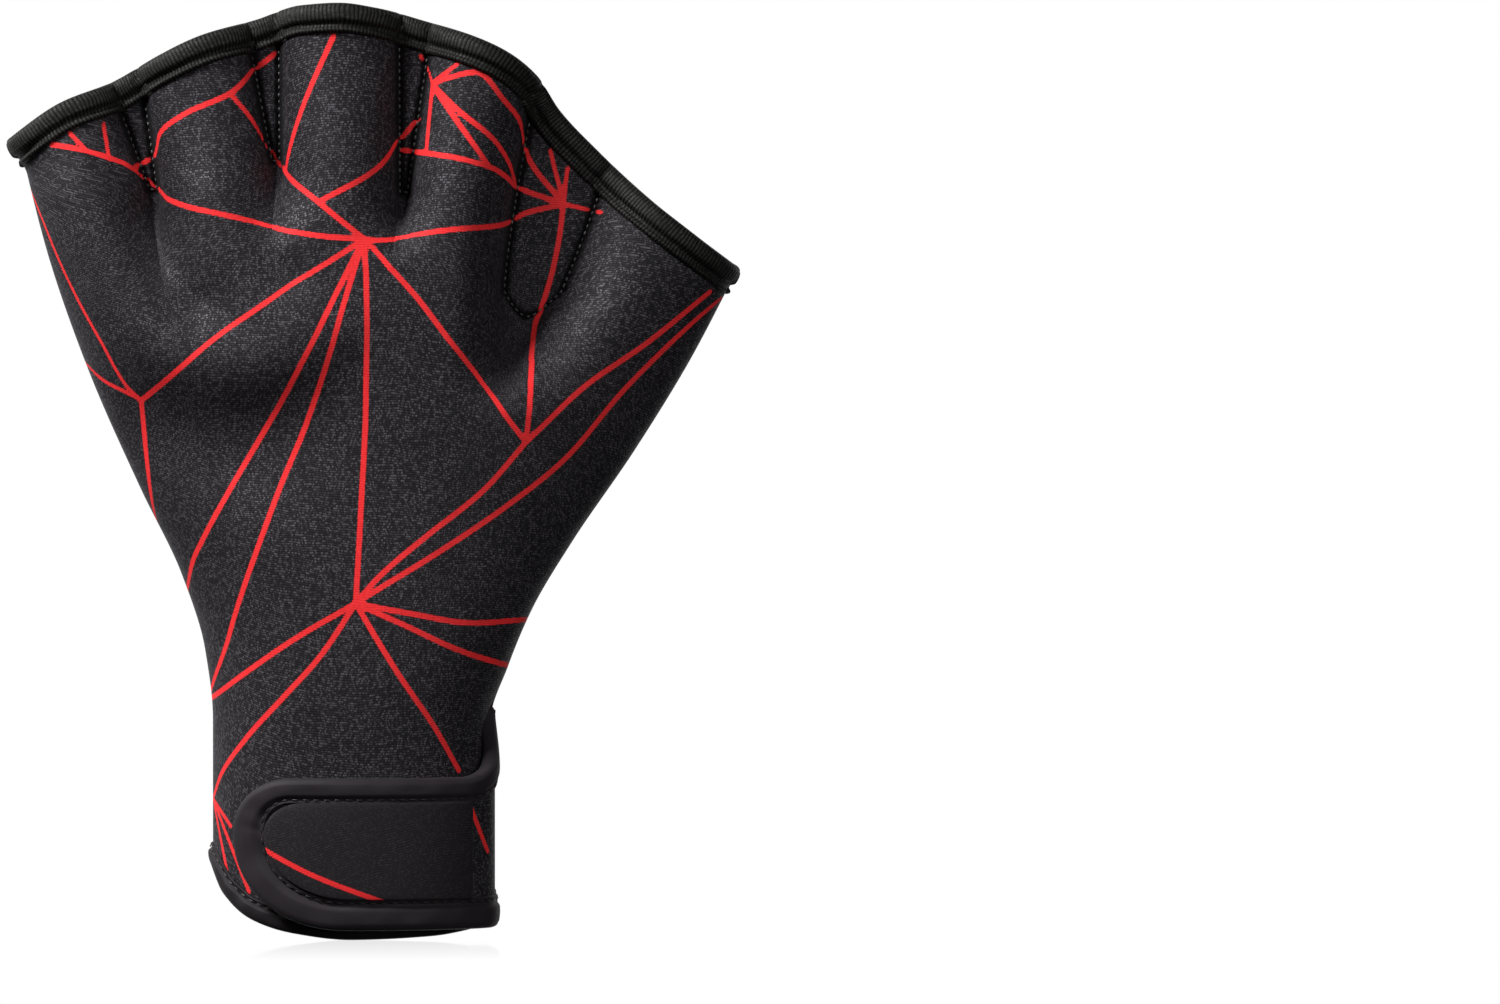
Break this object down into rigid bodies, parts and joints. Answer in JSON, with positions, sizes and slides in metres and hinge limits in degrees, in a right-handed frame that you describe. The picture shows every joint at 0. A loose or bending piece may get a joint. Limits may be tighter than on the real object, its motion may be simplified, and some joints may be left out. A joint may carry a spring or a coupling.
{
  "type": "webbed swim glove",
  "caption": "Half-finger webbed neoprene swim glove for the left hand, stitched flat between the fingers, with a wrist strap closed over the back.",
  "frame": {"origin": "middle of the wrist opening, at the height of the hem's lowest point", "axes": "+Z from the wrist to the fingers, -Y out of the back of the hand, +Y out of the palm, +X towards the thumb"},
  "size_m": [0.1544, 0.0535, 0.1975],
  "materials": {
    "printed_neoprene": "black knitted jersey with printed red lines",
    "plain_neoprene": "black knitted jersey",
    "ribbed_tape": "ribbed elastic tape, satin",
    "smooth_tape": "smooth elastic tape, satin",
    "patch_cloth": "black knit, matt",
    "hook_tape": "woven hook tape, matt"
  },
  "bodies": {
    "root": {"back_panel": "printed_neoprene", "palm_panel": "plain_neoprene", "back_finger_binding": "ribbed_tape", "palm_finger_binding": "ribbed_tape", "wrist_binding": "smooth_tape", "strap": "printed_neoprene", "strap_binding": "smooth_tape", "strap_patch": "patch_cloth", "hook_pad": "hook_tape"}
  },
  "joints": []
}
